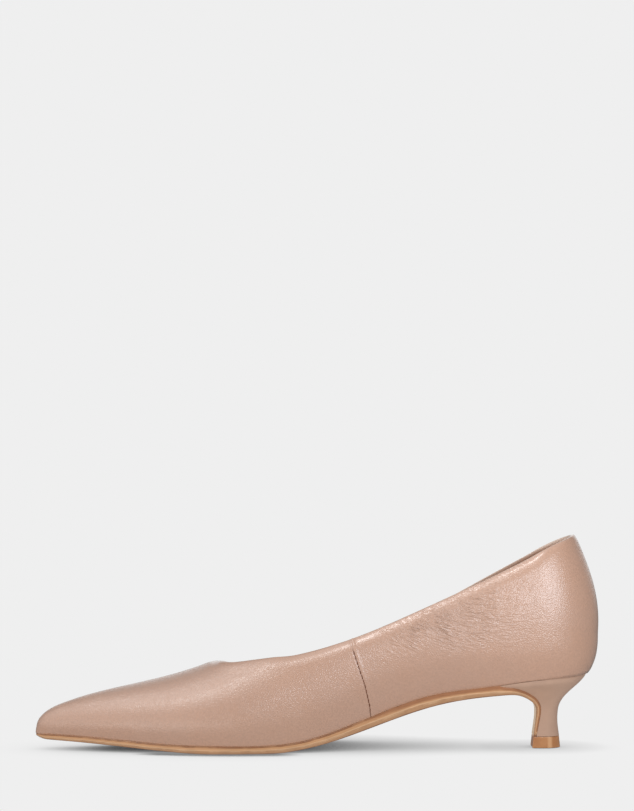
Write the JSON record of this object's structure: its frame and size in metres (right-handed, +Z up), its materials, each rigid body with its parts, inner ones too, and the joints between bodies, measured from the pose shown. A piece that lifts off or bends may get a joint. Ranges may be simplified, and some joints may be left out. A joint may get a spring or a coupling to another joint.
{
  "type": "kitten heel court shoe",
  "caption": "Pointed leather court shoe on a low kitten heel, right foot: hollow lasted upper open at the collar, insole, tan sole with flap down the breast, heel and top piece.",
  "frame": {"origin": "on the floor, under the middle of the shoe's box", "axes": "+X from the toe to the heel, +Y towards the outer side of the foot, +Z up"},
  "size_m": [0.2564, 0.076, 0.0967],
  "materials": {
    "upper_leather": "satin blush-beige leather with fine grain",
    "sock_leather": "matte pale leather",
    "sole_leather": "tan leather with a waxed edge",
    "heel_cover": "smooth satin leather cover",
    "top_piece_rubber": "tan rubber, slightly glossy"
  },
  "bodies": {
    "root": {"upper": "upper_leather", "insole": "sock_leather", "outsole": "sole_leather", "heel": "heel_cover", "top_piece": "top_piece_rubber"}
  },
  "joints": []
}
